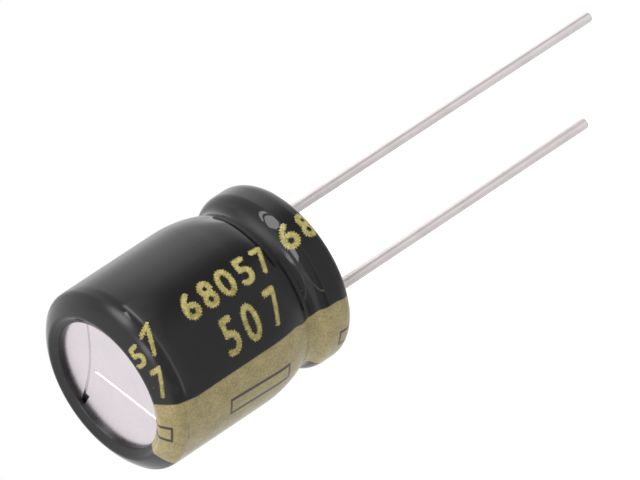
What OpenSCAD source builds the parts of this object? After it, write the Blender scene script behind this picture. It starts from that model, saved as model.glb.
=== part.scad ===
// Radial aluminium electrolytic capacitor, 10 mm can on a 5 mm lead pitch.
// The origin is midway between the leads, in the plane of the circuit board it stands on.
// +Z runs up the can to the vented head. The leads run down -Z, the longer anode at +X.

/* [Body outline, over the sleeve] */
// Diameter of the barrel
barrel_d = 10.2; // [9.8:0.05:10.6]
// Height from the board to the highest ring of the head
body_h = 12.64; // [11.5:0.02:16]
// Diameter of the curled rim at the lead end
rim_d = 9.96; // [9.7:0.02:10.2]
// Radius of the rim's lower corner
rim_corner_r = 0.9; // [0.7:0.05:1.1]
// Radius of the rim's shoulder below the groove
rim_crown_r = 0.72; // [0.6:0.02:0.8]
// Diameter at the bottom of the rolled groove
neck_d = 8.9; // [8.6:0.05:9.2]
// Height of the rolled groove above the board
neck_z = 2.64; // [2.4:0.02:3]
// Radius of the roller that formed the groove
neck_roller_r = 0.58; // [0.4:0.02:0.8]
// Radius of the long swell from the groove to the barrel
swell_r = 6.6; // [4:0.1:8]
// Radius of the corner round the head
head_corner_r = 1.28; // [1:0.02:1.35]
// Angle through which that corner turns before it meets the ring's crest
head_corner_a = 70; // [60:1:80]
// Radius of the crest of the ring round the head
crest_r = 0.25; // [0.22:0.01:0.32]
// Angle at which the ring falls inwards from its crest
ring_fall_a = 28; // [20:1:35]
// Length of that fall
ring_fall_l = 0.4; // [0.3:0.02:0.5]

/* [Sleeve] */
// Thickness of the shrunk plastic sleeve
sleeve_t = 0.12; // [0.08:0.01:0.16]
// Radius of the sleeve's lip where it turns down to the head
lip_r = 0.2; // [0.18:0.01:0.22]
// Height of the upright edge in which the lip ends on the head panel
lip_edge_h = 0.1; // [0.05:0.01:0.2]
// Width of the flat foot that the sleeve makes under the rim
foot_flat_w = 0.23; // [0.15:0.01:0.4]
// Angle covered by the printed negative band
band_angle = 50; // [30:1:80]
// Angle from the cathode lead round to the middle of the band
band_turn = 4; // [-10:1:10]
// Height above the board at which the band's print ends
band_foot_z = 0.3; // [0.2:0.05:0.6]
// Thickness of the band's ink
ink_t = 0.02; // [0.01:0.005:0.03]

/* [Can] */
// Thickness of the can's wall
can_t = 0.28; // [0.2:0.01:0.34]
// Thickness of the head panel
head_t = 0.4; // [0.3:0.05:0.6]
// Radius inside the can under the head
cavity_corner_r = 0.8; // [0.4:0.05:1.2]
// Width of the flat under the rim before its edge curls up
curl_flat_w = 0.15; // [0.05:0.01:0.3]
// Radius inside the curl of the rim's edge
curl_bend_r = 0.15; // [0.1:0.01:0.2]
// Height above the board to which the curled edge turns up into the stopper
curl_h = 0.86; // [0.84:0.01:1]
// Width of the score lines of the pressure vent at the panel's face
score_w = 0.16; // [0.1:0.01:0.24]
// Depth of the score lines
score_depth = 0.14; // [0.1:0.01:0.2]
// Distance of the vent's cross line from the can's axis
vent_cross_x = 1.6; // [0.6:0.05:1.8]
// Radius of the vent's cross line, which bends away from the axis
vent_cross_r = 12; // [8:0.5:20]
// Turn of the vent's cross line about the can's axis
vent_turn = 6; // [-20:1:20]
// Lean of the vent's long line from square to the cross line
vent_lean = 5; // [-10:1:10]
// Metal left between the cross line and the long line
vent_bridge = 0.4; // [0.1:0.05:0.5]
// Distance of the long line's start from the middle of the cross line, along it
vent_offset = 0.1; // [-0.5:0.05:0.5]

/* [Stopper] */
// Height of the stopper's outer face above the board
stopper_face_z = 0.3; // [0.2:0.01:0.5]
// Height of the stopper's inner face above the board
stopper_top_z = 3.35; // [3.2:0.05:3.6]
// Gap between the stopper's nose and the curled edge
nose_gap = 0.1; // [0.05:0.01:0.2]
// Clearance round each lead at the stopper's face
lead_gap = 0.08; // [0.05:0.01:0.12]

/* [Leads and terminals] */
// Distance between the leads
lead_pitch = 5; // [4.6:0.1:5.2]
// Diameter of a lead
lead_d = 0.6; // [0.5:0.05:0.7]
// Length of the anode lead below the board
anode_lead_l = 23.4; // [10:0.1:32]
// Length of the cathode lead below the board
cathode_lead_l = 18.3; // [8:0.1:28]
// Chamfer on the cut end of a lead
lead_tip = 0.12; // [0.05:0.01:0.2]
// Height above the board at which a lead starts to flare towards its weld
flare_z = 0.06; // [0.02:0.01:0.2]
// How far a lead flares all round at its weld
weld_flare = 0.05; // [0.02:0.01:0.08]
// Diameter of the aluminium rod sealed in the stopper
rod_d = 1.3; // [1.1:0.05:1.5]
// Height above the board of the weld between lead and rod
weld_z = 0.95; // [0.8:0.05:1.2]
// Height of the cone over which the rod narrows to the weld
weld_h = 0.3; // [0.2:0.05:0.4]
// Thickness of the tab flattened from the rod
tab_t = 0.2; // [0.14:0.01:0.26]
// Width of that tab
tab_w = 1.8; // [1.4:0.1:2.2]
// Height over which the rod flattens into the tab
paddle_h = 0.65; // [0.5:0.05:0.75]

/* [Winding] */
// Radius left by the winding pin
arbor_r = 0.75; // [0.6:0.05:1]
// Thickness of the separator paper
paper_t = 0.05; // [0.04:0.005:0.06]
// Thickness of the cathode foil
cathode_foil_t = 0.05; // [0.04:0.005:0.06]
// Thickness of the etched anode foil
anode_foil_t = 0.11; // [0.1:0.005:0.12]
// Thickness of the closing tape
tape_t = 0.06; // [0.04:0.01:0.08]
// Gap between the stopper and the winding
winding_lift = 0.8; // [0.8:0.05:1.2]
// Gap between the winding and the head
head_gap = 0.35; // [0.2:0.05:0.6]
// Gap between the winding and the can's wall
wall_gap = 0.12; // [0.1:0.02:0.3]
// Margin of bare paper above and below the foils
paper_margin = 0.45; // [0.3:0.05:0.8]
// Margin of bare paper above and below the closing tape
tape_margin = 1.2; // [0.8:0.1:2]
// Distance of the tabs' tops below the paper's edge
tab_margin = 1.0; // [0.5:0.1:2]

/* [Hidden] */
$fn = 96;

// Largest angle between neighbouring points of a rounded outline, in degrees
arc_step = 9;
// Oversize of a cutting tool past the surface that it cuts
over = 1;

cavity_inset = sleeve_t + can_t;
cavity_r = barrel_d / 2 - cavity_inset;
lead_x = lead_pitch / 2;
weld_d = lead_d + 2 * weld_flare;

// Centres of the arcs that the sleeve, the can and the stopper share
rim_corner_c = [rim_d / 2 - rim_corner_r, rim_corner_r];
neck_c = [neck_d / 2 + neck_roller_r, neck_z];
rim_crown_c = tangent_below(rim_d / 2 - rim_crown_r, rim_crown_r);
swell_c = tangent_above(barrel_d / 2 - swell_r, swell_r);
head_corner_c = [barrel_d / 2 - head_corner_r,
                 body_h - crest_r - (head_corner_r - crest_r) * sin(head_corner_a)];
crest_c = head_corner_c + (head_corner_r - crest_r) * [cos(head_corner_a), sin(head_corner_a)];
crest_end_a = 90 + ring_fall_a;
lip_c = crest_c + (crest_r - lip_r) * [cos(crest_end_a), sin(crest_end_a)]
        - ring_fall_l * [cos(ring_fall_a), sin(ring_fall_a)];
window_r = lip_c.x - lip_r;
panel_z = lip_c.y - lip_edge_h;
ceiling_z = panel_z - head_t;
sleeve_foot_r = rim_corner_c.x - foot_flat_w;
curl_outer_r = curl_bend_r + can_t;
curl_c = [rim_corner_c.x - curl_flat_w, sleeve_t + curl_outer_r];
curl_x = curl_c.x - curl_outer_r;
crown_a = angle_to(rim_crown_c, neck_c);
swell_a = angle_to(swell_c, neck_c);

// Winding: a stack of four strips is wound in half turns, each a half ring.
// Even half turns lie on the +X side and odd ones on the -X side.
stack_t = 2 * paper_t + cathode_foil_t + anode_foil_t;
winding_z0 = stopper_top_z + winding_lift;
winding_z1 = ceiling_z - head_gap;
winding_r = cavity_r - wall_gap;
half_turns = floor(2 * (winding_r - arbor_r - stack_t - 2 * tab_t) / stack_t) - 1;
// The half turns on which the two tabs lie, nearest to the leads
anode_turn = 2 * round((lead_x - tab_t - arbor_r - stack_t) / stack_t - 0.25);
cathode_turn = anode_turn + 1;

// Distance from the winding pin to each strip's inner face within the stack
slot_inner_paper = 0;
slot_cathode = paper_t;
slot_outer_paper = slot_cathode + cathode_foil_t;
slot_anode = slot_outer_paper + paper_t;

function angle_to(a, b) = atan2(b.y - a.y, b.x - a.x);

// Centre of an arc of radius r at distance x from the axis that meets the groove's arc
function tangent_rise(x, r) = sqrt(pow(r + neck_roller_r, 2) - pow(neck_c.x - x, 2));
function tangent_below(x, r) = [x, neck_z - tangent_rise(x, r)];
function tangent_above(x, r) = [x, neck_z + tangent_rise(x, r)];

function arc(c, r, a0, a1) =
    let (n = ceil(abs(a1 - a0) / arc_step))
    [for (i = [0:n]) let (a = a0 + (a1 - a0) * i / n) c + r * [cos(a), sin(a)]];

// Outline of the body from the seat up to the barrel, a given distance inside the sleeve's skin
function flank(inset) = concat(
    [[0, inset]],
    arc(rim_corner_c, rim_corner_r - inset, -90, 0),
    arc(rim_crown_c, rim_crown_r - inset, 0, crown_a),
    arc(neck_c, neck_roller_r + inset, 180 + crown_a, 180 + swell_a),
    arc(swell_c, swell_r - inset, swell_a, 0));

// The whole outline, with the ring round the recessed head
function body_outline(inset) = concat(
    flank(inset),
    arc(head_corner_c, head_corner_r - inset, 0, head_corner_a),
    arc(crest_c, crest_r - inset, head_corner_a, crest_end_a),
    arc(lip_c, lip_r - inset, crest_end_a, 180),
    [[window_r + inset, panel_z], [0, panel_z]]);

// The space inside the can
function cavity_outline() = concat(
    flank(cavity_inset),
    arc([cavity_r - cavity_corner_r, ceiling_z - cavity_corner_r], cavity_corner_r, 0, 90),
    [[0, ceiling_z]]);

// How far a strip is pushed out at a crossing of the Y axis by the tabs wound in below it.
// The anode tab lies over the whole stack, the cathode tab over the cathode foil.
function tab_push(slot, k) =
    (k >= anode_turn + 2 ? tab_t : 0)
    + (k >= cathode_turn + (slot > slot_cathode ? 0 : 2) ? tab_t : 0);

// Radius of a strip's inner face where it crosses the Y axis for the k-th time
function crossing_r(slot, k) = arbor_r + slot + k * stack_t / 2 + tab_push(slot, k);

// Centre and radius of the arc between two crossings
function turn_side(k) = k % 2 == 0 ? 1 : -1;
function turn_c(slot, k) = [0, turn_side(k) * (crossing_r(slot, k + 1) - crossing_r(slot, k)) / 2];
function turn_r(slot, k) = (crossing_r(slot, k) + crossing_r(slot, k + 1)) / 2;

// One half turn of a strip, as a half ring
module half_turn(slot, t, k) {
    r = turn_r(slot, k);
    reach = r + t + over;
    intersection() {
        translate(turn_c(slot, k)) difference() {
            circle(r = r + t);
            circle(r = r);
        }
        translate([turn_side(k) > 0 ? 0 : -reach, -reach - t]) square([reach, 2 * (reach + t)]);
    }
}

// A strip wound from one half turn to another
module wound_strip(slot, t, first, last, margin) {
    translate([0, 0, winding_z0 + margin])
        linear_extrude(height = winding_z1 - winding_z0 - 2 * margin)
            for (k = [first:last]) half_turn(slot, t, k);
}

// The printed negative band: a film of ink over the sleeve, on the cathode's side
module band_ink() {
    rotate([0, 0, 180 + band_turn - band_angle / 2]) rotate_extrude(angle = band_angle) difference() {
        polygon(body_outline(-ink_t));
        polygon(body_outline(0));
        translate([-over, -over]) square([barrel_d, band_foot_z + over]);
        translate([-over, rim_corner_r]) square([lip_c.x + over, body_h]);
    }
}

// Shrunk plastic sleeve, turned in over the head and under the rim
module sleeve() {
    color([0.1, 0.1, 0.11]) rotate_extrude() difference() {
        polygon(body_outline(0));
        polygon(body_outline(sleeve_t));
        translate([-over, -over]) square([sleeve_foot_r + over, rim_corner_r + over]);
    }
    color([0.56, 0.52, 0.35]) band_ink();
}

// Half section of the rim's edge, which curls up into the stopper
module curl_section() {
    translate([curl_c.x, sleeve_t]) square([curl_flat_w, can_t]);
    intersection() {
        translate(curl_c) difference() {
            circle(r = curl_outer_r);
            circle(r = curl_bend_r);
        }
        translate(curl_c - [curl_outer_r, curl_outer_r]) square(curl_outer_r);
    }
    translate([curl_x, curl_c.y]) square([can_t, curl_h - can_t / 2 - curl_c.y]);
    translate([curl_x + can_t / 2, curl_h - can_t / 2]) circle(d = can_t);
}

// Section of a score line, with its edges carried on above the panel's face
module score_section() {
    mouth = score_w / 2 * (1 + over / score_depth);
    polygon([[0, -score_depth], [mouth, over], [-mouth, over]]);
}

// Score lines of the vent: a bowed cross line and one long line that runs away from it
module vent_scores() {
    cross_span = 2 * asin(window_r / vent_cross_r);
    translate([0, 0, panel_z]) rotate([0, 0, vent_turn]) intersection() {
        translate([0, 0, -over]) cylinder(r = window_r, h = 2 * over);
        union() {
            translate([vent_cross_x + vent_cross_r, 0, 0]) rotate([0, 0, 180 - cross_span / 2])
                rotate_extrude(angle = cross_span) translate([vent_cross_r, 0]) score_section();
            translate([vent_cross_x - vent_bridge, vent_offset, 0]) rotate([0, 0, vent_lean])
                rotate([90, 0, -90]) linear_extrude(height = 2 * window_r) score_section();
        }
    }
}

// Drawn aluminium can with its groove, curled edge and scored head
module can() {
    color([0.85, 0.83, 0.84]) difference() {
        rotate_extrude() {
            difference() {
                polygon(body_outline(sleeve_t));
                polygon(cavity_outline());
                translate([-over, -over]) square([rim_corner_c.x + over, rim_corner_r + over]);
            }
            curl_section();
        }
        vent_scores();
    }
}

// Rubber stopper, squeezed into the can by the groove, with a nose inside the curled edge
module rubber_stopper() {
    nose_r = curl_x - nose_gap;
    color([0.16, 0.15, 0.15]) difference() {
        rotate_extrude() {
            intersection() {
                polygon(cavity_outline());
                translate([0, curl_h]) square([cavity_r + over, stopper_top_z - curl_h]);
            }
            translate([0, stopper_face_z]) square([nose_r, curl_h - stopper_face_z]);
        }
        for (x = [-lead_x, lead_x]) translate([x, 0, 0]) {
            translate([0, 0, flare_z])
                cylinder(d1 = lead_d + 2 * lead_gap, d2 = weld_d + 2 * lead_gap, h = weld_z - flare_z);
            translate([0, 0, weld_z]) cylinder(d1 = weld_d + 2 * lead_gap, d2 = rod_d, h = weld_h);
            translate([0, 0, weld_z + weld_h]) cylinder(d = rod_d, h = stopper_top_z);
        }
    }
}

// Tinned wire lead of a given length below the board, with a chamfered cut end.
// The wire flares a little towards its weld inside the stopper.
module lead(l) {
    color([0.82, 0.8, 0.79]) {
        translate([0, 0, flare_z]) cylinder(d1 = lead_d, d2 = weld_d, h = weld_z - flare_z);
        translate([0, 0, -l + lead_tip]) cylinder(d = lead_d, h = l - lead_tip + flare_z);
        translate([0, 0, -l]) cylinder(d1 = lead_d - 2 * lead_tip, d2 = lead_d, h = lead_tip);
    }
}

// Aluminium rod and the tab pressed from it, on the side of the axis given by side.
// The tab is curved to lie on the outer face of its foil.
module terminal(side, slot, foil_t, turn) {
    foil_c = turn_c(slot, turn);
    foil_r = turn_r(slot, turn) + foil_t;
    tab_top = winding_z1 - tab_margin;
    paddle_z = stopper_top_z;
    inner_x = sqrt(pow(foil_r, 2) - pow(tab_w / 2, 2));
    color([0.8, 0.8, 0.82]) {
        translate([side * lead_x, 0, weld_z]) cylinder(d1 = weld_d, d2 = rod_d, h = weld_h);
        translate([side * lead_x, 0, weld_z + weld_h]) cylinder(d = rod_d, h = paddle_z - weld_z - weld_h);
        // The rod flattens and widens into the tab
        intersection() {
            translate([0, tab_w / 2, 0]) rotate([90, 0, 0]) linear_extrude(height = tab_w) polygon([
                [side * (lead_x - rod_d / 2), paddle_z], [side * (lead_x + rod_d / 2), paddle_z],
                [side * (foil_r + tab_t), paddle_z + paddle_h], [side * inner_x, paddle_z + paddle_h]]);
            rotate([90, 0, 90]) linear_extrude(height = 2 * (foil_r + rod_d), center = true) polygon([
                [-rod_d / 2, paddle_z], [rod_d / 2, paddle_z],
                [tab_w / 2, paddle_z + paddle_h], [-tab_w / 2, paddle_z + paddle_h]]);
        }
        translate([0, 0, paddle_z + paddle_h]) linear_extrude(height = tab_top - paddle_z - paddle_h)
            intersection() {
                translate(foil_c) difference() {
                    circle(r = foil_r + tab_t);
                    circle(r = foil_r);
                }
                translate([side > 0 ? 0 : -foil_r - over, -tab_w / 2]) square([foil_r + over, tab_w]);
            }
    }
}

module anode_lead() {
    translate([lead_x, 0, 0]) lead(anode_lead_l);
}

module cathode_lead() {
    translate([-lead_x, 0, 0]) lead(cathode_lead_l);
}

module anode_terminal() {
    terminal(1, slot_anode, anode_foil_t, anode_turn);
}

module cathode_terminal() {
    terminal(-1, slot_cathode, cathode_foil_t, cathode_turn);
}

// The foils start and end inside the papers, so that neither can touch the other
module anode_foil() {
    color([0.62, 0.6, 0.58]) wound_strip(slot_anode, anode_foil_t, 2, half_turns - 4, paper_margin);
}

module cathode_foil() {
    color([0.75, 0.74, 0.73]) wound_strip(slot_cathode, cathode_foil_t, 1, half_turns - 2, paper_margin);
}

module inner_paper() {
    color([0.86, 0.78, 0.62]) wound_strip(slot_inner_paper, paper_t, 0, half_turns, 0);
}

module outer_paper() {
    color([0.84, 0.76, 0.6]) wound_strip(slot_outer_paper, paper_t, 0, half_turns, 0);
}

// Tape round the last turn, in the place that the anode foil leaves free
module closing_tape() {
    color([0.7, 0.55, 0.3]) wound_strip(slot_anode, tape_t, half_turns - 2, half_turns, tape_margin);
}

sleeve();
can();
rubber_stopper();
anode_lead();
cathode_lead();
anode_terminal();
cathode_terminal();
anode_foil();
cathode_foil();
inner_paper();
outer_paper();
closing_tape();
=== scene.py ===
"""Radial electrolytic capacitor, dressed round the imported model.

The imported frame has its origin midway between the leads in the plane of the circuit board,
with +Z up to the vented head and the leads down -Z. Meshes are built in millimetres and are
brought to metres when they are finished. An angle round the body is counted in degrees from
-X, the cathode lead's side, anticlockwise seen from the head.
"""
from math import atan2, ceil, cos, degrees, exp, floor, pi, radians, sin, sqrt

import bmesh
import bpy
from mathutils import Matrix, Vector, noise


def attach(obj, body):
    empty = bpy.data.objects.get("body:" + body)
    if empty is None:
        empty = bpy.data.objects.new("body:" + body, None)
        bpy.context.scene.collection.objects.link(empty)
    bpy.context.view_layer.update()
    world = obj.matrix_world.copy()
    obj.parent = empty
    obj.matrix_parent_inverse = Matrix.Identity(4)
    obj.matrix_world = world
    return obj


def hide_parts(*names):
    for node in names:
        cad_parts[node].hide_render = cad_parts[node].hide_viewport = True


MM = 0.001
# Edges that turn by more than this are left sharp
SHARP_A = 35

# The body's outline over the sleeve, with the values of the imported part
BARREL_R = 5.1
BODY_H = 12.64
RIM_R = 4.98
RIM_CORNER_R = 0.9
RIM_CROWN_R = 0.72
NECK_R = 4.45
NECK_Z = 2.64
NECK_ROLLER_R = 0.58
SWELL_R = 6.6
# The film's own curve over the head: radius and the angle that each arc reaches
RING_FALL_A = 28
HEAD_ARCS = [(10.5, 3), (0.5, 43), (2.4, 65), (0.25, 90 + RING_FALL_A)]
RING_FALL = 0.324
LIP_R = 0.2
LIP_EDGE = 0.136
FOOT_FLAT = 0.23
SLEEVE_T = 0.12

# The leads
LEAD_X = 2.5
LEAD_R = 0.3
LEAD_TOP_Z = 0.95
WELD_R = 0.35
FLARE_Z = 0.06
LEAD_TIP_R = 0.12
ANODE_TIP_Z = -23.4
CATHODE_TIP_Z = -18.3

# The nick in the anode lead: its place, its length, how far the metal is moved and how far off
# the wire is still changed
NICK_Z = -5.0
NICK_LENGTH = 0.22
NICK_DEPTH = 0.16
NICK_REACH = 0.6

# The print: its repeat along the sleeve, its height over the film and the lean of its figures
PRINT_PITCH = 7.8
PRINT_LIFT = 0.014
PRINT_SINK = 0.01
FIGURE_LEAN = -0.07
# A figure is left out where it would come nearer than this to the sleeve's foot or window
FOOT_MARGIN = 0.25
WINDOW_MARGIN = 0.4
# The teeth along a figure's edges: the length of a pair and the reach of one
FRAY_PITCH = 0.14
FRAY_REACH = 0.105
# Lengths along the sleeve from which the print is turned and drawn together over the head
TURN_START = 11.5
TURN_SPAN = 1.5
TURN_SHIFT = 0.08
DRAWN_START = 12.5
DRAWN_SHARE = 0.74
DRAWN_NARROW = 0.13

# Rows of plain figures: the angle of their foot, height, added weight, copies along the sleeve
# as (shift, turn), turn over the head, and each figure with its left edge and width
FIGURE_ROWS = [
    (68.0, 1.5, 0.04, [(-7.2, 3.0), (0.0, 0.0), (PRINT_PITCH + 0.04, 0.0)], -6.0,
     [("6", 10.02, 0.98), ("8", 8.74, 0.88), ("0", 7.6, 0.98), ("5", 6.32, 0.9), ("7", 5.0, 0.9)]),
    (38.5, 1.98, 0.03, [(-PRINT_PITCH, 0.0), (0.0, 0.0), (PRINT_PITCH, 0.0)], 0.0,
     [("5", 8.95, 0.92), ("0", 7.58, 0.95), ("7", 5.88, 0.85)]),
]

# The band: its edges as angles, with their shifts over the head, in the groove and at the rim
# and the lengths along the sleeve between which each shift comes in
BAND_UPPER_A = 29.7
BAND_LOWER_A = -21.0
BAND_RISE = 4.8
BAND_RISE_START = 11.5
BAND_RISE_RUN = 2.3
BAND_LOWER_RISE = 5.0
BAND_LOWER_SPAN = 12.0, 14.0
BAND_GROOVE_DIP = 2.8
BAND_GROOVE_SPAN = (2.6, 3.2), (3.8, 4.7)
BAND_RIM_DIP = 2.0
BAND_RIM_SPAN = 0.7, 1.8
# How fast the ink comes in across an edge, for each degree
EDGE_SLOPE = 5.0
# Length of a tooth in the band's edge and its reach in degrees for each millimetre
TOOTH_LENGTH = 0.055
TOOTH_SLOPE = 17.0

# The outlined bar on the band: its centre along the sleeve and as an angle, its skew in degrees
# for each millimetre, its half length and half width, how thin its long lines are beside its
# short ones, and the line's depth inside the bar with its half width from full to none
BAR_PLACE = 7.45
BAR_A = 5.7
BAR_SKEW = 0.79
BAR_HALF_L = 2.06
BAR_HALF_W = 0.58
BAR_LONG_SHARE = 0.62
BAR_LINE_DEPTH = 0.06
BAR_LINE_HALF = 0.045, 0.085
# The painted shade of the wrinkles round the bar at the head: centre and half length along the
# sleeve, half width, where they end, and the half width of their line
FOLD_PLACE = 12.95
FOLD_HALF_L = 0.6
FOLD_HALF_W = 0.72
FOLD_END = 13.1
FOLD_LINE_HALF = 0.015, 0.05

# Lengths along the sleeve between which the film is dull: the groove, the shoulder and the window
GROOVE_SPAN = (2.66, 2.9), (3.7, 4.3)
SHOULDER_SPAN = (12.4, 12.5), (12.95, 13.1)
WINDOW_WALL = 0.62, 0.5
# The crease above the groove, along the sleeve and as angles
CREASE_SPAN = (3.9, 4.14), (4.14, 5.8)
CREASE_SIDE = (66.0, 80.0), (112.0, 128.0)

# Heights of the film's slow waves, of the crease and of the ink
WAVE_H = 0.006
CREASE_H = 0.17
INK_H = 0.006
# The film's roughness, what is added to it in its ink, in the groove, beside the crease, in the
# window's wall and on the shoulder, and the roughness of the figures
FILM_ROUGH = 0.05
INK_ROUGH = 0.1
GROOVE_ROUGH = 0.1
CREASE_ROUGH = 0.35
WINDOW_ROUGH = 0.3
SHOULDER_ROUGH = 0.22
FIGURE_ROUGH = 0.22

# The painted dark reflection streak on a lead: its angle round the wire and its half width from
# full to none, in degrees
REFLECTION_STREAK_A = -97.0
REFLECTION_STREAK_HALF = 5.0, 22.0
REFLECTION_STREAK_STRENGTH = 0.65

# The painted shade at the end of the vent's cross line, where the score meets the sleeve's edge:
# its middle, its lean, half width and half length, and the height that the head's panel lies above
VENT_SHADE_X = 1.5
VENT_SHADE_Y = 3.0
VENT_SHADE_LEAN = 0.25
VENT_SHADE_HALF_W = 0.15
VENT_SHADE_HALF_L = 0.55
VENT_ABOVE_Z = 11.0


# Meshes

def finish_piece(bm, name, material):
    """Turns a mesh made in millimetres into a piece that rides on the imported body."""
    bmesh.ops.scale(bm, vec=(MM, MM, MM), verts=bm.verts)
    for face in bm.faces:
        face.smooth = True
    for edge in bm.edges:
        if len(edge.link_faces) == 2:
            edge.smooth = edge.calc_face_angle(0) < radians(SHARP_A)
    mesh = bpy.data.meshes.new(name)
    bm.to_mesh(mesh)
    bm.free()
    mesh.materials.append(material)
    piece = bpy.data.objects.new(name, mesh)
    bpy.context.scene.collection.objects.link(piece)
    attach(piece, "root")
    return piece


class Section:
    """A half section in the XZ plane, drawn on from its last point by lines and arcs."""

    def __init__(self, bm, r, z, arc_step=4):
        self.bm = bm
        self.arc_step = arc_step
        self.points = [bm.verts.new((r, 0, z))]

    def line(self, r, z):
        out = bmesh.ops.extrude_vert_indiv(self.bm, verts=[self.points[-1]])
        point = out["verts"][0]
        point.co = (r, 0, z)
        self.points.append(point)

    def arc(self, centre, turn):
        """Turns on round a centre, towards +Z from +X for a positive angle in degrees."""
        steps = max(2, ceil(abs(turn) / self.arc_step))
        first = len(self.bm.verts)
        bmesh.ops.spin(self.bm, geom=[self.points[-1]], cent=(centre[0], 0, centre[1]),
                       axis=(0, -1, 0), angle=radians(turn), steps=steps, use_merge=False)
        self.bm.verts.ensure_lookup_table()
        self.points += [self.bm.verts[i] for i in range(first, first + steps)]


def tangent_rise(x, r):
    """Height between the groove's centre and the centre of an arc that meets it."""
    return sqrt((r + NECK_ROLLER_R) ** 2 - (NECK_R + NECK_ROLLER_R - x) ** 2)


def body_section(bm, inset, arc_step):
    """Outline of the body from under the rim to the window in the head."""
    corner = (RIM_R - RIM_CORNER_R, RIM_CORNER_R)
    neck = (NECK_R + NECK_ROLLER_R, NECK_Z)
    crown = (RIM_R - RIM_CROWN_R, NECK_Z - tangent_rise(RIM_R - RIM_CROWN_R, RIM_CROWN_R))
    swell = (BARREL_R - SWELL_R, NECK_Z + tangent_rise(BARREL_R - SWELL_R, SWELL_R))
    centres = [(BARREL_R - HEAD_ARCS[0][0], 0)]
    for (r, reach), (next_r, _) in zip(HEAD_ARCS, HEAD_ARCS[1:]):
        x, z = centres[-1]
        turn = radians(reach)
        centres.append((x + (r - next_r) * cos(turn), z + (r - next_r) * sin(turn)))
    crest_r = HEAD_ARCS[-1][0]
    rise = BODY_H - crest_r - centres[-1][1]
    fall = radians(RING_FALL_A)
    lip = (centres[-1][0] - (crest_r - LIP_R) * sin(fall) - RING_FALL * cos(fall),
           BODY_H - crest_r + (crest_r - LIP_R) * cos(fall) - RING_FALL * sin(fall))
    crown_turn = degrees(atan2(neck[1] - crown[1], neck[0] - crown[0]))
    swell_turn = degrees(atan2(neck[1] - swell[1], neck[0] - swell[0]))

    section = Section(bm, corner[0] - FOOT_FLAT, inset, arc_step)
    section.line(corner[0], inset)
    section.arc(corner, 90)
    section.line(RIM_R - inset, crown[1])
    section.arc(crown, crown_turn)
    section.arc(neck, swell_turn - crown_turn)
    section.arc(swell, -swell_turn)
    section.line(BARREL_R - inset, rise)
    start = 0
    for (x, z), (_, reach) in zip(centres, HEAD_ARCS):
        section.arc((x, z + rise), reach - start)
        start = reach
    section.line(lip[0] - (LIP_R - inset) * sin(fall), lip[1] + (LIP_R - inset) * cos(fall))
    section.arc(lip, 90 - RING_FALL_A)
    section.line(lip[0] - LIP_R + inset, lip[1] - LIP_EDGE)
    return section.points


def skin_outline():
    """Points (length from the rim's lowest point, radius, height) along the sleeve's skin."""
    bm = bmesh.new()
    points = [v.co.copy() for v in body_section(bm, 0, 4)][1:]
    bm.free()
    lengths = [0.0]
    for a, b in zip(points, points[1:]):
        lengths.append(lengths[-1] + (b - a).length)
    return [(s, p.x, p.z) for s, p in zip(lengths, points)]


SKIN = skin_outline()


def on_skin(s, angle, lift):
    """The point over the sleeve at a length along its outline, an angle and a height above it."""
    i = 0
    while i < len(SKIN) - 2 and SKIN[i + 1][0] < s:
        i += 1
    s0, r0, z0 = SKIN[i]
    s1, r1, z1 = SKIN[i + 1]
    t = min(max((s - s0) / (s1 - s0), 0), 1)
    run, rise = (r1 - r0) / (s1 - s0), (z1 - z0) / (s1 - s0)
    r = r0 + t * (r1 - r0) + lift * rise
    z = z0 + t * (z1 - z0) - lift * run
    turn = radians(180 + angle)
    return Vector((r * cos(turn), r * sin(turn), z))


def sleeve_skin(material):
    """The shrunk sleeve, one closed wall from under the rim to the window in the head."""
    bm = bmesh.new()
    along = bm.verts.layers.float.new("along")
    outer = body_section(bm, 0, 3)
    length = -FOOT_FLAT
    for i, point in enumerate(outer):
        if i:
            length += (point.co - outer[i - 1].co).length
        point[along] = length
    inner = body_section(bm, SLEEVE_T, 9)
    for point in inner:
        point[along] = -1
    bm.edges.new((outer[0], inner[0]))
    bm.edges.new((outer[-1], inner[-1]))
    bmesh.ops.spin(bm, geom=bm.verts[:] + bm.edges[:], cent=(0, 0, 0), axis=(0, 0, 1),
                   angle=2 * pi, steps=300, use_merge=True)
    bmesh.ops.remove_doubles(bm, verts=bm.verts, dist=1e-5)
    bmesh.ops.recalc_face_normals(bm, faces=bm.faces)
    piece = finish_piece(bm, "sleeve_skin", material)
    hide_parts("sleeve")
    return piece


def figure_sheet(figure, width, height):
    """A figure as a flat sheet of the given size, its lower left corner at the origin."""
    curve = bpy.data.curves.new("figure", "FONT")
    curve.body = figure
    curve.fill_mode = "FRONT"
    curve.resolution_u = 8
    text = bpy.data.objects.new("figure", curve)
    bpy.context.scene.collection.objects.link(text)
    bpy.context.view_layer.update()
    mesh = bpy.data.meshes.new_from_object(
        text.evaluated_get(bpy.context.evaluated_depsgraph_get()))
    bpy.data.objects.remove(text)
    bpy.data.curves.remove(curve)
    bm = bmesh.new()
    bm.from_mesh(mesh)
    bpy.data.meshes.remove(mesh)
    bmesh.ops.remove_doubles(bm, verts=bm.verts, dist=1e-5)
    low = Vector([min(v.co[i] for v in bm.verts) for i in range(3)])
    high = Vector([max(v.co[i] for v in bm.verts) for i in range(3)])
    bmesh.ops.translate(bm, vec=-low, verts=bm.verts)
    bmesh.ops.scale(bm, vec=(width / (high.x - low.x), height / (high.y - low.y), 1),
                    verts=bm.verts)
    return bm


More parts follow.
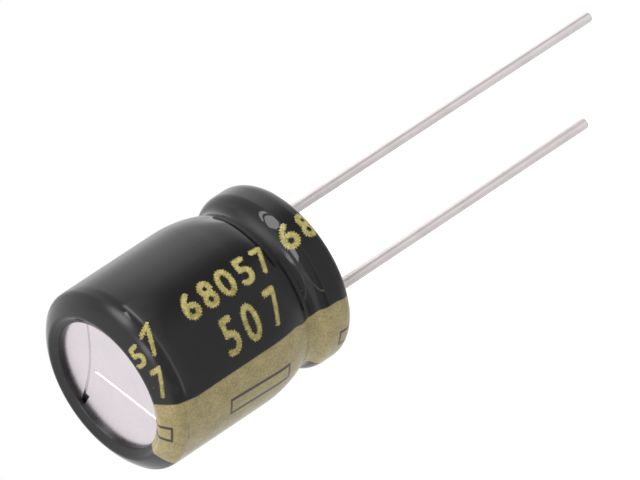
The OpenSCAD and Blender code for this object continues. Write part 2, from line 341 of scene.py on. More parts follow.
def frayed_sheet(sheet, weight):
    """The same sheet, made bolder and with the small teeth along its edges that the print has."""
    starts = {}
    for edge in sheet.edges:
        if len(edge.link_faces) == 1:
            loop = edge.link_loops[0]
            starts[loop.vert.index] = loop
    bm = bmesh.new()
    edges = []
    while starts:
        first = min(starts)
        corners = []
        place = first
        while place in starts:
            loop = starts.pop(place)
            corners.append(loop.vert.co.copy())
            place = loop.link_loop_next.vert.index
        lengths = [(b - a).length for a, b in zip(corners, corners[1:] + corners[:1])]
        count = 2 * round(sum(lengths) / FRAY_PITCH)
        step = sum(lengths) / count
        points = []
        i, done = 0, 0.0
        for k in range(count):
            while done + lengths[i] < k * step:
                done += lengths[i]
                i += 1
            run = (corners[(i + 1) % len(corners)] - corners[i]).normalized()
            points.append(corners[i] + run * (k * step - done))
        ring = []
        for k, point in enumerate(points):
            along = points[(k + 1) % count] - points[k - 1]
            outward = Vector((along.y, -along.x, 0)).normalized()
            wander = noise.noise(point * 7)
            tooth = 0.55 + 0.5 * wander if k % 2 else -0.4 - 0.3 * wander
            ring.append(bm.verts.new(point + outward * (weight + FRAY_REACH * tooth)))
        edges += [bm.edges.new((a, b)) for a, b in zip(ring, ring[1:] + ring[:1])]
    bmesh.ops.triangle_fill(bm, use_beauty=True, edges=edges, normal=(0, 0, 1))
    sheet.free()
    return bm


def cut_lines(bm, axis, start, stop, step):
    """Cuts a flat sheet along evenly spaced lines, so that it can bend there."""
    normal = Vector((1, 0, 0)) if axis == 0 else Vector((0, 1, 0))
    for i in range(ceil(start / step), floor(stop / step) + 1):
        bmesh.ops.bisect_plane(bm, geom=bm.verts[:] + bm.edges[:] + bm.faces[:],
                               dist=1e-6, plane_co=normal * (i * step), plane_no=normal)


def printed_figure(bm_all, figure, s, angle, width, height, weight, head_turn):
    """Adds one printed figure. s is its left edge along the sleeve and angle its foot.

    Past the head's shoulder the print is drawn closer together, and turned by head_turn.
    """
    bm = figure_sheet(figure, width - 2 * weight, height - 2 * weight)
    bm.verts.index_update()
    bm = frayed_sheet(bm, weight)
    bmesh.ops.translate(bm, vec=(weight - s, weight, 0), verts=bm.verts)
    cut_lines(bm, 0, -s - 0.1, -s + width + 0.1, 0.12)
    cut_lines(bm, 1, -0.1, height + 0.1, 0.2)
    top = bmesh.ops.extrude_face_region(bm, geom=bm.faces[:])
    raised = {v for v in top["geom"] if isinstance(v, bmesh.types.BMVert)}
    end = SKIN[-1][0]
    for vert in bm.verts:
        place = FIGURE_LEAN * vert.co.y - vert.co.x
        over = min(max(place - TURN_START, 0) / TURN_SPAN, 1)
        drawn = DRAWN_SHARE * max(place - DRAWN_START, 0)
        place = min(place, DRAWN_START) + drawn + TURN_SHIFT * over
        foot = angle + head_turn * over
        turn = foot + degrees(vert.co.y / BARREL_R) * (1 - DRAWN_NARROW * over)
        lift = PRINT_LIFT if vert in raised else -PRINT_SINK
        vert.co = on_skin(min(max(place, 0), end), turn, lift)
    bmesh.ops.recalc_face_normals(bm, faces=bm.faces)
    mesh = bpy.data.meshes.new("figure")
    bm.to_mesh(mesh)
    bm.free()
    bm_all.from_mesh(mesh)
    bpy.data.meshes.remove(mesh)


def printed_figures(material):
    """Two rows of plain figures, repeated along the sleeve as far as it reaches."""
    bm = bmesh.new()
    for angle, height, weight, copies, head_turn, figures in FIGURE_ROWS:
        for shift, turn in copies:
            for figure, s, width in figures:
                left, right = s + shift, s + shift - width
                if right < FOOT_MARGIN or left > SKIN[-1][0] - WINDOW_MARGIN:
                    continue
                printed_figure(bm, figure, left, angle + turn, width, height, weight, head_turn)
    piece = finish_piece(bm, "printed_figures", material)
    return piece


def nick_scale(z):
    """How far the anode wire's skin is moved at a height, by the nick and the burr beside it."""
    away = (z - NICK_Z) / NICK_LENGTH
    return 1 + NICK_DEPTH * (exp(-5 * (away - 0.5) ** 2) - exp(-3 * (away + 0.8) ** 2))


def wire_lead(name, side, tip_z, bow, material, nicked=False):
    """A lead as a slightly bowed wire with a rounded cut end, and a nick if one is asked for."""
    bm = bmesh.new()
    section = Section(bm, 0, LEAD_TOP_Z, 15)
    section.line(WELD_R, LEAD_TOP_Z)
    section.line(LEAD_R, FLARE_Z)
    steps = ceil(-tip_z / 0.25)
    end_z = tip_z + LEAD_TIP_R
    for i in range(1, steps + 1):
        section.line(LEAD_R, FLARE_Z + (end_z - FLARE_Z) * i / steps)
    section.arc((LEAD_R - LEAD_TIP_R, end_z), -90)
    section.line(0, tip_z)
    bmesh.ops.spin(bm, geom=bm.verts[:] + bm.edges[:], cent=(0, 0, 0), axis=(0, 0, 1),
                   angle=2 * pi, steps=32, use_merge=True)
    bmesh.ops.remove_doubles(bm, verts=bm.verts, dist=1e-5)
    bmesh.ops.recalc_face_normals(bm, faces=bm.faces)
    for vert in bm.verts:
        faces_nick = vert.co.x < 0 and vert.co.y < 0 and abs(vert.co.z - NICK_Z) < NICK_REACH
        if nicked and faces_nick:
            vert.co.xy *= nick_scale(vert.co.z)
        t = max(-vert.co.z, 0) / -tip_z
        vert.co.x += side * LEAD_X + bow[0] * t * t
        vert.co.y += bow[1] * t * t
    piece = finish_piece(bm, name + "_wire", material)
    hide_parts(name)
    return piece


# Materials

def add(tree, kind, inputs=None, **settings):
    """Adds a node. inputs maps socket names or numbers to values or to sockets to link."""
    made = tree.nodes.new(kind)
    for key, value in settings.items():
        setattr(made, key, value)
    for key, value in (inputs or {}).items():
        if isinstance(value, bpy.types.NodeSocket):
            tree.links.new(value, made.inputs[key])
        else:
            made.inputs[key].default_value = value
    return made


def calc(tree, operation, *values, clamp=False):
    return add(tree, "ShaderNodeMath", dict(enumerate(values)),
               operation=operation, use_clamp=clamp).outputs[0]


def step_up(tree, value, low, high):
    """0 below low, 1 above high and smooth between."""
    return add(tree, "ShaderNodeMapRange", {0: value, 1: low, 2: high},
               interpolation_type="SMOOTHSTEP").outputs[0]


def step_down(tree, value, low, high):
    """1 below low, 0 above high and smooth between."""
    return calc(tree, "SUBTRACT", 1.0, step_up(tree, value, low, high))


def between(tree, value, rise, fall):
    """0 outside and 1 inside, with a smooth rise and fall that are each given as (low, high)."""
    return calc(tree, "MULTIPLY", step_up(tree, value, *rise), step_down(tree, value, *fall))


def mix_colour(tree, factor, a, b):
    return add(tree, "ShaderNodeMix", {0: factor, 6: a, 7: b}, data_type="RGBA").outputs[2]


def mix_value(tree, factor, a, b):
    return add(tree, "ShaderNodeMix", {0: factor, 2: a, 3: b}, data_type="FLOAT").outputs[0]


def ramp(tree, value, *stops):
    made = add(tree, "ShaderNodeValToRGB", {0: value})
    elements = made.color_ramp.elements
    while len(elements) > len(stops):
        elements.remove(elements[-1])
    while len(elements) < len(stops):
        elements.new(1)
    for element, (place, colour) in zip(elements, stops):
        element.position = place
        element.color = colour
    return made.outputs[0]


def rgb(r, g, b):
    """A linear colour from 0 to 255 screen values."""
    def linear(v):
        v /= 255
        return v / 12.92 if v <= 0.04045 else ((v + 0.055) / 1.055) ** 2.4
    return (linear(r), linear(g), linear(b), 1)


def new_group(name, inputs, outputs):
    """A node group whose sockets are (name, kind, default) and (name, kind)."""
    tree = bpy.data.node_groups.new(name, "ShaderNodeTree")
    for label, kind, default in inputs:
        socket = tree.interface.new_socket(label, in_out="INPUT", socket_type="NodeSocket" + kind)
        socket.default_value = default
    for label, kind in outputs:
        tree.interface.new_socket(label, in_out="OUTPUT", socket_type="NodeSocket" + kind)
    return tree, tree.nodes.new("NodeGroupInput").outputs, tree.nodes.new("NodeGroupOutput").inputs


def new_material(name):
    material = bpy.data.materials.new(name)
    material.use_nodes = True
    tree = material.node_tree
    tree.nodes.clear()
    shader = tree.nodes.new("ShaderNodeBsdfPrincipled")
    out = tree.nodes.new("ShaderNodeOutputMaterial")
    tree.links.new(shader.outputs[0], out.inputs[0])
    return material, tree, shader


def place_mm(tree):
    """Object coordinates in millimetres."""
    coords = add(tree, "ShaderNodeTexCoord").outputs["Object"]
    return add(tree, "ShaderNodeVectorMath", {0: coords, "Scale": 1 / MM},
               operation="SCALE").outputs[0]


BLACK = (0, 0, 0, 1)
WHITE = (1, 1, 1, 1)
GOLD = rgb(174, 157, 102)
GOLD_PALE = rgb(190, 175, 124)
FIGURE_GOLD = rgb(164, 149, 68)
FIGURE_PALE = rgb(201, 189, 122)
SLEEVE_BLACK = (0.0125, 0.0115, 0.0125, 1)
BAR_BROWN = (0.06, 0.043, 0.03, 1)
# Colour of the painted shade in the wrinkles at the head
WRINKLE_SHADE_BROWN = (0.1, 0.08, 0.05, 1)
DUST_GREY = (0.16, 0.15, 0.15, 1)
PIT_GREY = (0.25, 0.24, 0.23, 1)
INK_SHADE = (0.05, 0.045, 0.03, 1)
# Colour of the painted shade at the end of the vent's score
VENT_SHADE_BLACK = (0.01, 0.01, 0.01, 1)
# Colour of the painted dark reflection streak along the leads
REFLECTION_STREAK_GREY = rgb(168, 160, 160)
FILM_IOR = 1.5


def print_ink_group():
    """Colour and thickness of the printed gold ink, with its fine speckle."""
    tree, given, result = new_group(
        "print_ink",
        [("Place", "Vector", (0, 0, 0)), ("Ink", "Color", (0.3, 0.25, 0.1, 1)),
         ("Pale", "Color", (0.4, 0.35, 0.2, 1)), ("Speckle", "Float", 0.5)],
        [("Color", "Color"), ("Height", "Float")])
    fine = add(tree, "ShaderNodeTexNoise", {"Vector": given["Place"], "Scale": 9.0, "Detail": 2.0,
                                            "Roughness": 0.7}).outputs["Fac"]
    broad = add(tree, "ShaderNodeTexNoise", {"Vector": given["Place"], "Scale": 1.3, "Detail": 3.0}
                ).outputs["Fac"]
    mottled = calc(tree, "MULTIPLY_ADD", broad, 0.35, calc(tree, "MULTIPLY", fine, 0.65))
    spread = calc(tree, "MULTIPLY", calc(tree, "SUBTRACT", mottled, 0.5), given["Speckle"])
    tone = calc(tree, "ADD", calc(tree, "MULTIPLY", spread, 3.0), 0.5, clamp=True)
    dark = mix_colour(tree, 0.45, given["Ink"], INK_SHADE)
    body = mix_colour(tree, tone, dark, given["Pale"])
    tree.links.new(body, result["Color"])
    tree.links.new(tone, result["Height"])
    return tree


def grain_group():
    """Fine surface grain: a height and a mask of scattered pits."""
    tree, given, result = new_group(
        "fine_grain",
        [("Place", "Vector", (0, 0, 0)), ("Stretch", "Vector", (1, 1, 1)),
         ("Scale", "Float", 10.0), ("Pits", "Float", 0.5)],
        [("Height", "Float"), ("Pits", "Float")])
    stretched = add(tree, "ShaderNodeVectorMath", {0: given["Place"], 1: given["Stretch"]},
                    operation="MULTIPLY").outputs[0]
    grain = add(tree, "ShaderNodeTexNoise", {"Vector": stretched, "Scale": given["Scale"],
                                             "Detail": 4.0, "Roughness": 0.6}).outputs["Fac"]
    cells = add(tree, "ShaderNodeTexVoronoi", {"Vector": given["Place"], "Scale": 2.2,
                                               "Randomness": 1.0}).outputs["Distance"]
    size = calc(tree, "MULTIPLY", given["Pits"], 0.12)
    core = calc(tree, "MULTIPLY_ADD", size, 0.4, -0.01)
    pits = step_down(tree, cells, core, size)
    tree.links.new(grain, result["Height"])
    tree.links.new(pits, result["Pits"])
    return tree


def dust_group():
    """A mask of a few small specks of dust."""
    tree, given, result = new_group(
        "dust_specks",
        [("Place", "Vector", (0, 0, 0)), ("Amount", "Float", 1.0)], [("Specks", "Float")])
    cells = add(tree, "ShaderNodeTexVoronoi", {"Vector": given["Place"], "Scale": 1.1,
                                               "Randomness": 1.0}).outputs
    pick = add(tree, "ShaderNodeSeparateColor", {0: cells["Color"]}).outputs
    size = calc(tree, "MULTIPLY_ADD", pick[1], 0.035, 0.03)
    inside = step_down(tree, cells["Distance"], 0.01, size)
    chosen = calc(tree, "GREATER_THAN", pick[0], 0.6)
    specks = calc(tree, "MULTIPLY", calc(tree, "MULTIPLY", inside, chosen), given["Amount"])
    tree.links.new(specks, result["Specks"])
    return tree


PRINT_INK = print_ink_group()
FINE_GRAIN = grain_group()
DUST = dust_group()


def use_group(tree, group, **inputs):
    made = add(tree, "ShaderNodeGroup", node_tree=group)
    for key, value in inputs.items():
        if isinstance(value, bpy.types.NodeSocket):
            tree.links.new(value, made.inputs[key])
        else:
            made.inputs[key].default_value = value
    return made.outputs


def bumped(tree, height, distance, normal=None):
    """Normal of a relief, over another where one is given. distance is in millimetres."""
    given = {"Height": height, "Distance": distance * MM, "Strength": 1.0}
    if normal is not None:
        given["Normal"] = normal
    return add(tree, "ShaderNodeBump", given).outputs[0]


def band_mask(tree, along, angle):
    """Mask of the printed band, whose edges fray on the lines of the print."""
    fray = calc(tree, "MULTIPLY", calc(tree, "PINGPONG", along, TOOTH_LENGTH), TOOTH_SLOPE)
    over_head = calc(tree, "MULTIPLY_ADD", along, 1 / BAND_RISE_RUN,
                     -BAND_RISE_START / BAND_RISE_RUN, clamp=True)
    in_groove = between(tree, along, *BAND_GROOVE_SPAN)
    at_rim = step_down(tree, along, *BAND_RIM_SPAN)
    sunk = calc(tree, "MULTIPLY_ADD", in_groove, BAND_GROOVE_DIP,
                calc(tree, "MULTIPLY", at_rim, BAND_RIM_DIP))
    upper = calc(tree, "MULTIPLY_ADD", over_head, BAND_RISE, BAND_UPPER_A)
    upper = calc(tree, "ADD", calc(tree, "SUBTRACT", upper, sunk), fray)
    at_head = step_up(tree, along, *BAND_LOWER_SPAN)
    lower = calc(tree, "MULTIPLY_ADD", at_head, BAND_LOWER_RISE, BAND_LOWER_A)
    lower = calc(tree, "SUBTRACT", lower, fray)
    below_upper = calc(tree, "MULTIPLY_ADD", calc(tree, "SUBTRACT", upper, angle), EDGE_SLOPE, 0.5,
                       clamp=True)
    above_lower = calc(tree, "MULTIPLY_ADD", calc(tree, "SUBTRACT", angle, lower), EDGE_SLOPE, 0.5,
                       clamp=True)
    # The inner wall and the foot's flat have no ink
    on_outside = calc(tree, "GREATER_THAN", along, 0.02)
    return calc(tree, "MULTIPLY", calc(tree, "MULTIPLY", below_upper, above_lower), on_outside)


def bar_marks(tree, along, angle):
    """Masks of the outlined bars on the band and of the painted shade of the fine wrinkles round
    the one at the head.
    """
    centre = calc(tree, "MULTIPLY_ADD", along, BAR_SKEW, BAR_A - BAR_SKEW * BAR_PLACE)
    across = calc(tree, "MULTIPLY", calc(tree, "SUBTRACT", angle, centre), radians(1) * BARREL_R)
    shifted = calc(tree, "SUBTRACT", along, BAR_PLACE)
    repeat = calc(tree, "WRAP", shifted, PRINT_PITCH / 2, -PRINT_PITCH / 2)
    past_end = calc(tree, "SUBTRACT", calc(tree, "ABSOLUTE", repeat), BAR_HALF_L)
    past_side = calc(tree, "SUBTRACT", calc(tree, "ABSOLUTE", across), BAR_HALF_W)
    outside = calc(tree, "MAXIMUM", past_end, calc(tree, "MULTIPLY", past_side, BAR_LONG_SHARE))
    off_line = calc(tree, "ABSOLUTE", calc(tree, "ADD", outside, BAR_LINE_DEPTH))
    outline = step_down(tree, off_line, *BAR_LINE_HALF)

    off_middle = calc(tree, "ABSOLUTE", calc(tree, "SUBTRACT", along, FOLD_PLACE))
    off_side = calc(tree, "SUBTRACT", calc(tree, "ABSOLUTE", across), FOLD_HALF_W)
    off_fold = calc(tree, "MAXIMUM", calc(tree, "SUBTRACT", off_middle, FOLD_HALF_L), off_side)
    wrinkle_shade = step_down(tree, calc(tree, "ABSOLUTE", off_fold), *FOLD_LINE_HALF)
    wrinkle_shade = calc(tree, "MULTIPLY", wrinkle_shade, calc(tree, "LESS_THAN", along, FOLD_END))
    return outline, wrinkle_shade


def sleeve_material():
    material, tree, shader = new_material("sleeve_film")
    place = place_mm(tree)
    axes = add(tree, "ShaderNodeSeparateXYZ", {0: place}).outputs
    from_back = calc(tree, "ARCTAN2", calc(tree, "MULTIPLY", axes[1], -1.0),
                     calc(tree, "MULTIPLY", axes[0], -1.0))
    angle = calc(tree, "MULTIPLY", from_back, degrees(1))
    along = add(tree, "ShaderNodeAttribute", attribute_name="along").outputs["Fac"]

    band = band_mask(tree, along, angle)
    outline, wrinkle_shade = bar_marks(tree, along, angle)
    ink = use_group(tree, PRINT_INK, Place=place, Ink=GOLD, Pale=GOLD_PALE, Speckle=1.0)
    inked = mix_colour(tree, outline, ink["Color"], BAR_BROWN)
    # Painted shade in the fine wrinkles round the bar at the head
    inked = mix_colour(tree, calc(tree, "MULTIPLY", wrinkle_shade, 0.4), inked, WRINKLE_SHADE_BROWN)
    specks = use_group(tree, DUST, Place=place, Amount=1.0)["Specks"]
    film_colour = mix_colour(tree, specks, SLEEVE_BLACK, DUST_GREY)
    tree.links.new(mix_colour(tree, band, film_colour, inked), shader.inputs["Base Color"])

    # Slow waves left in the film as it shrank, and the step where it has creased over the groove
    waves = add(tree, "ShaderNodeTexNoise", {"Vector": place, "Scale": 0.45, "Detail": 1.0,
                                             "Roughness": 0.4}).outputs["Fac"]
    crease_side = between(tree, angle, *CREASE_SIDE)
    step = calc(tree, "MULTIPLY", between(tree, along, *CREASE_SPAN), crease_side)
    printed = calc(tree, "MULTIPLY", band, calc(tree, "MULTIPLY_ADD", ink["Height"], 0.25, 0.75))
    normal = bumped(tree, waves, WAVE_H)
    normal = bumped(tree, step, CREASE_H, normal)
    normal = bumped(tree, printed, INK_H, normal)
    tree.links.new(normal, shader.inputs["Normal"])

    # The film is drawn thin and dull in the groove, on the shoulder and in the window's wall
    groove_dull = calc(tree, "MULTIPLY", between(tree, along, *GROOVE_SPAN),
                       calc(tree, "MULTIPLY_ADD", crease_side, CREASE_ROUGH, GROOVE_ROUGH))
    in_window = step_up(tree, along, *(SKIN[-1][0] - before for before in WINDOW_WALL))
    on_shoulder = between(tree, along, *SHOULDER_SPAN)
    dull = calc(tree, "MAXIMUM", groove_dull, calc(tree, "MULTIPLY", in_window, WINDOW_ROUGH))
    dull = calc(tree, "MAXIMUM", dull, calc(tree, "MULTIPLY", on_shoulder, SHOULDER_ROUGH))
    rough = calc(tree, "ADD", dull, calc(tree, "MULTIPLY_ADD", band, INK_ROUGH, FILM_ROUGH))
    tree.links.new(rough, shader.inputs["Roughness"])
    shader.inputs["IOR"].default_value = FILM_IOR
    return material


def figure_material():
    material, tree, shader = new_material("figure_ink")
    place = place_mm(tree)
    ink = use_group(tree, PRINT_INK, Place=place, Ink=FIGURE_GOLD, Pale=FIGURE_PALE, Speckle=1.3)
    tree.links.new(ink["Color"], shader.inputs["Base Color"])
    tree.links.new(bumped(tree, ink["Height"], INK_H), shader.inputs["Normal"])
    shader.inputs["Roughness"].default_value = FIGURE_ROUGH
    shader.inputs["IOR"].default_value = FILM_IOR
    return material


def painted_reflection_streak(tree, place):
    """Mask of a painted dark reflection streak along each wire, at the same angle round both."""
    axes = add(tree, "ShaderNodeSeparateXYZ", {0: place}).outputs
    side = calc(tree, "MULTIPLY", calc(tree, "SIGN", axes[0]), LEAD_X)
    around = calc(tree, "ARCTAN2", axes[1], calc(tree, "SUBTRACT", axes[0], side))
    off_line = calc(tree, "ABSOLUTE", calc(tree, "MULTIPLY_ADD", around, degrees(1), -REFLECTION_STREAK_A))
    return calc(tree, "MULTIPLY", step_down(tree, off_line, *REFLECTION_STREAK_HALF), REFLECTION_STREAK_STRENGTH)


def painted_vent_shade(tree, place):
    """Mask of painted shade in the end of the vent's cross line, under the sleeve's edge."""
    axes = add(tree, "ShaderNodeSeparateXYZ", {0: place}).outputs
    lengthwise = calc(tree, "SUBTRACT", axes[1], VENT_SHADE_Y)
    middle = calc(tree, "MULTIPLY_ADD", lengthwise, VENT_SHADE_LEAN, VENT_SHADE_X)
    across = calc(tree, "ABSOLUTE", calc(tree, "SUBTRACT", axes[0], middle))
    endwise = calc(tree, "ABSOLUTE", lengthwise)
    reach = calc(tree, "MAXIMUM", calc(tree, "MULTIPLY", across, 1 / VENT_SHADE_HALF_W),
                 calc(tree, "MULTIPLY", endwise, 1 / VENT_SHADE_HALF_L))
    on_head = calc(tree, "GREATER_THAN", axes[2], VENT_ABOVE_Z)
    return calc(tree, "MULTIPLY", on_head, step_down(tree, reach, 0.8, 1.1))


def metal_material(name, colour, dull, roughness, stretch, scale, height, pits=0.0, metallic=1.0,
                   mark=None, mark_colour=None):
    """A metal with a stretched grain, dull patches, scattered pits and, where one is given, a mark
    of painted shade.
    """
    material, tree, shader = new_material(name)
    place = place_mm(tree)
    grain = use_group(tree, FINE_GRAIN, Place=place, Stretch=stretch, Scale=scale, Pits=pits)
    patches = add(tree, "ShaderNodeTexNoise", {"Vector": place, "Scale": 0.8, "Detail": 3.0}
                  ).outputs["Fac"]
    toned = mix_colour(tree, ramp(tree, patches, (0.35, BLACK), (0.7, WHITE)), colour, dull)
    # The mark, where one is given, is painted shade
    if mark:
        toned = mix_colour(tree, mark(tree, place), toned, mark_colour)
    pitted = mix_colour(tree, grain["Pits"], toned, PIT_GREY)
    tree.links.new(pitted, shader.inputs["Base Color"])
    rough = calc(tree, "MULTIPLY_ADD", grain["Height"], 0.2, roughness - 0.1)
    tree.links.new(rough, shader.inputs["Roughness"])
    lowered = calc(tree, "SUBTRACT", grain["Height"], calc(tree, "MULTIPLY", grain["Pits"], 1.5))
    tree.links.new(bumped(tree, lowered, height), shader.inputs["Normal"])
    shader.inputs["Metallic"].default_value = metallic
    return material


def dull_material(name, colour, other, roughness, scale, height, stretch=(1, 1, 1)):
    """Rubber, paper or film: two tones, a grain and no metal."""
    material, tree, shader = new_material(name)
    place = place_mm(tree)
    grain = use_group(tree, FINE_GRAIN, Place=place, Stretch=stretch, Scale=scale, Pits=0.0)
    tone = ramp(tree, grain["Height"], (0.35, BLACK), (0.65, WHITE))
    tree.links.new(mix_colour(tree, tone, colour, other), shader.inputs["Base Color"])
    tree.links.new(bumped(tree, grain["Height"], height), shader.inputs["Normal"])
    shader.inputs["Roughness"].default_value = roughness
    return material


# Studio

# The camera: where it stands round the part in degrees, its turn, its lens and its place in
# millimetres along its own right, up and backward axes
VIEW_AZIMUTH = -25.3855
VIEW_ELEVATION = 28.796
VIEW_ROLL = -123.5157
VIEW_LENS = 526.126
VIEW_PLACE = (1.52559, 1.26923, 471.795)

# Brightness round the sky as (azimuth, value), below the table's far edge and above it
TABLE_TONES = [
    (-180, 0.7), (-110, 0.7), (-89, 0.52), (-47, 0.46), (-23, 0.44), (13, 0.12), (25, 0.2),
    (37, 0.47), (49, 0.9), (73, 1.22), (97, 1.08), (121, 1.2), (145, 0.72), (180, 0.7)]
ROOM_TONES = [
    (-180, 0.9), (-130, 0.85), (-110, 0.65), (-88, 0.42), (-55, 0.5), (0, 0.48), (45, 0.55),
    (80, 0.68), (100, 0.9), (125, 0.98), (155, 0.92), (180, 0.9)]
TABLE_EDGE_EL = -27.6, -26
CEILING_TONE = 0.95
CEILING_EL = 36, 58
UNDER_TONE = 0.34
UNDER_EL = -70, -56

# Cards in the sky, each given by its corners as (azimuth, elevation): the dark gaps over the
# table's far edge with their depth, the side that the room's left edge shows on, and the soft boxes
FAR_GAPS = [
    ([(-92, -22), (-48, -22), (-48, 3), (-92, 5)], 0.17),
    ([(-48, -22), (-12, -22), (-12, -10), (-48, -6)], 0.15)]
LEFT_EDGE = (-73, -29), (-51, 65)
LEFT_SIDE = [(-95, -20), (-30, -20), (-30, 66), (-95, 66)]
LEFT_EDGE_HALF = 0.012, 0.022
LEFT_EDGE_LIGHT = 1.5
# The lit far edge of the table: its rise and fall by elevation and by azimuth, and the azimuths
# over which it grows brighter by FAR_EDGE_GAIN
FAR_EDGE_EL = (-26.9, -26.6), (-25.9, -25.6)
FAR_EDGE_AZ = (-90.0, -76.0), (40.0, 46.0)
FAR_EDGE_GAIN_AZ = 8.0, 16.0
FAR_EDGE_GAIN = 2.0
SOFT_BOXES = [
    [(16, 2), (23, -22.8), (35, -25), (36.5, -21), (41.5, 40), (43.5, 50), (38, 50), (20, 31)],
    [(39, -20), (43.5, -17), (49, 28), (52, 47), (44, 40)],
    [(-12.9, 22.7), (0.6, 52.2), (-1.5, 61), (-29, 61), (-22.6, 32.4)]]
SOFT_BOX_LIGHT = 4.2
# How far the edge of a card and of a gap fades
CARD_FADE = 0.008
GAP_FADE = 0.06

# The paper that the part stands on
FLOOR_R = 40
FLOOR_GAP = 0.02
FLOOR_WHITE = (0.85, 0.85, 0.85, 1)
FLOOR_GLOW = 0.6


def view_axes():
    """Right, up and backward axes of the camera that takes the picture."""
    az, el, roll = radians(VIEW_AZIMUTH), radians(VIEW_ELEVATION), radians(VIEW_ROLL)
    back = Vector((sin(az) * cos(el), -cos(az) * cos(el), sin(el)))
    level = Vector((cos(az), sin(az), 0))
    upright = back.cross(level)
    right = cos(roll) * level + sin(roll) * upright
    up = -sin(roll) * level + cos(roll) * upright
    return right, up, back


def take_picture():
    axes = view_axes()
    lens = bpy.data.cameras.new("camera")
    lens.lens = VIEW_LENS
    lens.sensor_width = 36
    lens.clip_start = 0.01
    lens.clip_end = 10
    camera = bpy.data.objects.new("camera", lens)
    bpy.context.scene.collection.objects.link(camera)
    place = sum((axis * distance for axis, distance in zip(axes, VIEW_PLACE)), Vector()) * MM
    camera.matrix_world = Matrix.Translation(place) @ Matrix(axes).transposed().to_4x4()
    bpy.context.scene.camera = camera


def direction(azimuth, elevation):
    az, el = radians(azimuth), radians(elevation)
    return Vector((sin(az) * cos(el), -cos(az) * cos(el), sin(el)))


def along_axis(tree, ray, axis):
    return add(tree, "ShaderNodeVectorMath", {0: ray, 1: axis},
               operation="DOT_PRODUCT").outputs["Value"]


def light_card(tree, ray, corners, fade=CARD_FADE):
    """Mask of a flat card in the sky, given by its corners as (azimuth, elevation)."""
    rays = [direction(*corner) for corner in corners]
    middle = sum(rays, Vector())
    inside = None
    for a, b in zip(rays, rays[1:] + rays[:1]):
        normal = a.cross(b).normalized()
        if normal.dot(middle) < 0:
            normal = -normal
        side = along_axis(tree, ray, normal)
        inside = side if inside is None else calc(tree, "MINIMUM", inside, side)
    return step_up(tree, inside, -fade, fade)


def by_azimuth(tree, azimuth, stops):
    """Brightness round the sky from (azimuth, value), the first and last at -180 and 180."""
    place = calc(tree, "MULTIPLY_ADD", azimuth, 1 / 360, 0.5)
    grey = ramp(tree, place, *((a / 360 + 0.5, (v / 2, v / 2, v / 2, 1)) for a, v in stops))
    return calc(tree, "MULTIPLY", grey, 2.0)


def at_heights(*elevations):
    """The sky's upward axis at elevations in degrees."""
    return tuple(sin(radians(elevation)) for elevation in elevations)


def bright_edges(tree, ray, upward, azimuth):
    """Light of the room's left edge and of the far edge of the table, brighter in front."""
    left_edge = direction(*LEFT_EDGE[0]).cross(direction(*LEFT_EDGE[1])).normalized()
    from_left = calc(tree, "ABSOLUTE", along_axis(tree, ray, left_edge))
    on_left = calc(tree, "MULTIPLY", step_down(tree, from_left, *LEFT_EDGE_HALF),
                   light_card(tree, ray, LEFT_SIDE))
    far_edge = calc(tree, "MULTIPLY",
                    between(tree, upward, *(at_heights(*part) for part in FAR_EDGE_EL)),
                    between(tree, azimuth, *FAR_EDGE_AZ))
    in_front = step_up(tree, azimuth, *FAR_EDGE_GAIN_AZ)
    far_light = calc(tree, "MULTIPLY_ADD", in_front, FAR_EDGE_GAIN, 1.0)
    return calc(tree, "MULTIPLY_ADD", on_left, LEFT_EDGE_LIGHT,
                calc(tree, "MULTIPLY", far_edge, far_light))


def light_studio():
    """A bright table below, a dark room in front with lit cards, and bright walls behind."""
    world = bpy.data.worlds.new("studio")
    bpy.context.scene.world = world
    world.use_nodes = True
    tree = world.node_tree
    tree.nodes.clear()
    ray = add(tree, "ShaderNodeTexCoord").outputs["Generated"]
    axes = add(tree, "ShaderNodeSeparateXYZ", {0: ray}).outputs
    upward = axes[2]
    from_front = calc(tree, "ARCTAN2", axes[0], calc(tree, "MULTIPLY", axes[1], -1.0))
    azimuth = calc(tree, "MULTIPLY", from_front, degrees(1))

    above_table = step_up(tree, upward, *at_heights(*TABLE_EDGE_EL))
    seen = mix_value(tree, above_table, by_azimuth(tree, azimuth, TABLE_TONES),
                     by_azimuth(tree, azimuth, ROOM_TONES))
    ceiling = step_up(tree, upward, *at_heights(*CEILING_EL))
    seen = mix_value(tree, ceiling, seen, calc(tree, "MAXIMUM", seen, CEILING_TONE))
    straight_down = step_down(tree, upward, *at_heights(*UNDER_EL))
    seen = mix_value(tree, straight_down, seen, calc(tree, "MINIMUM", seen, UNDER_TONE))

    # The dark gap over the table's far edge, the bright edges and the soft boxes in front
    for corners, depth in FAR_GAPS:
        seen = calc(tree, "MULTIPLY_ADD", light_card(tree, ray, corners, GAP_FADE), -depth, seen)
    seen = calc(tree, "ADD", bright_edges(tree, ray, upward, azimuth), seen)
    for corners in SOFT_BOXES:
        seen = calc(tree, "MULTIPLY_ADD", light_card(tree, ray, corners), SOFT_BOX_LIGHT, seen)

    camera_ray = add(tree, "ShaderNodeLightPath").outputs["Is Camera Ray"]
    strength = mix_value(tree, camera_ray, seen, 1.0)
    sky = add(tree, "ShaderNodeBackground", {"Color": WHITE, "Strength": strength})
    out = add(tree, "ShaderNodeOutputWorld")
    tree.links.new(sky.outputs[0], out.inputs[0])


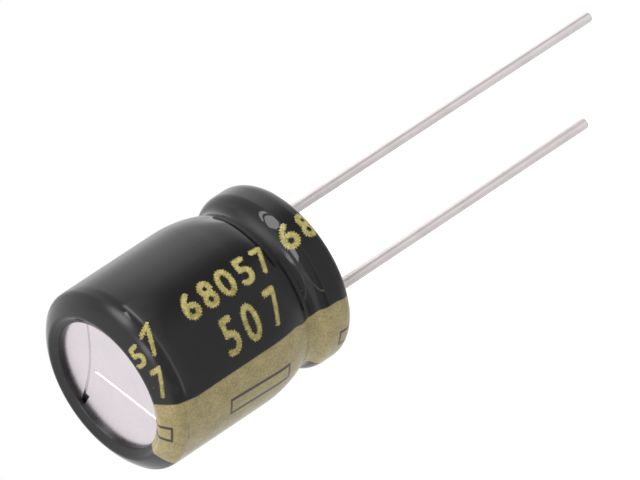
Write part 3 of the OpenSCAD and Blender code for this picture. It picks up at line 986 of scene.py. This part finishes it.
def lay_floor():
    """White paper under the leads, which keeps the part's shadow."""
    bm = bmesh.new()
    bmesh.ops.create_circle(bm, cap_ends=True, radius=FLOOR_R * MM, segments=96)
    bmesh.ops.translate(bm, vec=(0, 0, (ANODE_TIP_Z - FLOOR_GAP) * MM), verts=bm.verts)
    bmesh.ops.recalc_face_normals(bm, faces=bm.faces)
    mesh = bpy.data.meshes.new("floor")
    bm.to_mesh(mesh)
    bm.free()
    board = bpy.data.objects.new("floor", mesh)
    bpy.context.scene.collection.objects.link(board)
    material = bpy.data.materials.new("floor_paper")
    material.use_nodes = True
    tree = material.node_tree
    tree.nodes.clear()
    paper = add(tree, "ShaderNodeBsdfDiffuse", {"Color": FLOOR_WHITE}).outputs[0]
    glow = add(tree, "ShaderNodeEmission", {"Color": WHITE, "Strength": FLOOR_GLOW}).outputs[0]
    both = add(tree, "ShaderNodeAddShader", {0: paper, 1: glow}).outputs[0]
    camera_ray = add(tree, "ShaderNodeLightPath").outputs["Is Camera Ray"]
    seen = add(tree, "ShaderNodeMixShader", {0: camera_ray, 1: paper, 2: both}).outputs[0]
    out = add(tree, "ShaderNodeOutputMaterial")
    tree.links.new(seen, out.inputs[0])
    mesh.materials.append(material)
    board.visible_glossy = False


def dress_node(frame, name, material):
    node = frame["nodes"][name]
    node.data.materials.clear()
    node.data.materials.append(material)


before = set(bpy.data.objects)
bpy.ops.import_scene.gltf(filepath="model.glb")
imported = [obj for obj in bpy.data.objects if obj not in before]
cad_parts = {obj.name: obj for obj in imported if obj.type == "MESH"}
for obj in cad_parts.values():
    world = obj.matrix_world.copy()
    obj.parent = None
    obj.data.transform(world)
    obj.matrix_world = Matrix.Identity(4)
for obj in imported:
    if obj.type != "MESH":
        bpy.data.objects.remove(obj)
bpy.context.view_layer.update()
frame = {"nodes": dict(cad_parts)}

bpy.context.scene.view_settings.view_transform = "Standard"
take_picture()
light_studio()
lay_floor()

sleeve_skin(sleeve_material())
printed_figures(figure_material())

# The aluminium's mark is painted shade in the end of the vent's cross line
aluminium = metal_material("bare_aluminium", rgb(235, 225, 230), rgb(229, 222, 228), 0.3,
                           (1, 1, 1), 6.0, 0.004, mark=painted_vent_shade, mark_colour=VENT_SHADE_BLACK)
# The tin's mark is a painted dark reflection streak along each wire
tin = metal_material("tin_plate", rgb(234, 226, 226), rgb(224, 216, 216), 0.2,
                     (1, 1, 0.12), 9.0, 0.012, 0.7, 0.3, mark=painted_reflection_streak, mark_colour=REFLECTION_STREAK_GREY)
drawn = metal_material("drawn_aluminium", rgb(225, 224, 228), rgb(205, 204, 208), 0.35,
                       (1, 1, 0.1), 8.0, 0.006)
etched = metal_material("etched_foil", rgb(150, 148, 146), rgb(120, 118, 116), 0.6,
                        (1, 1, 1), 14.0, 0.006)
plain_foil = metal_material("plain_foil", rgb(205, 204, 204), rgb(190, 188, 188), 0.4,
                            (1, 1, 0.1), 12.0, 0.004)
rubber = dull_material("bung_rubber", rgb(44, 42, 42), rgb(56, 54, 53), 0.65, 9.0, 0.01)
paper = dull_material("soaked_paper", rgb(222, 200, 152), rgb(205, 182, 134), 0.7, 16.0, 0.01,
                      (1, 1, 0.3))
tape = dull_material("amber_tape", rgb(186, 140, 62), rgb(172, 126, 52), 0.25, 3.0, 0.004)
for node_name, finish in (
        ("can", aluminium), ("rubber_stopper", rubber), ("anode_lead", tin), ("cathode_lead", tin),
        ("anode_terminal", drawn), ("cathode_terminal", drawn), ("anode_foil", etched),
        ("cathode_foil", plain_foil), ("inner_paper", paper), ("outer_paper", paper),
        ("closing_tape", tape)):
    dress_node(frame, node_name, finish)
wire_lead("anode_lead", 1, ANODE_TIP_Z, (-0.05, 0.06), tin, nicked=True)
wire_lead("cathode_lead", -1, CATHODE_TIP_Z, (-0.1, -0.17), tin)
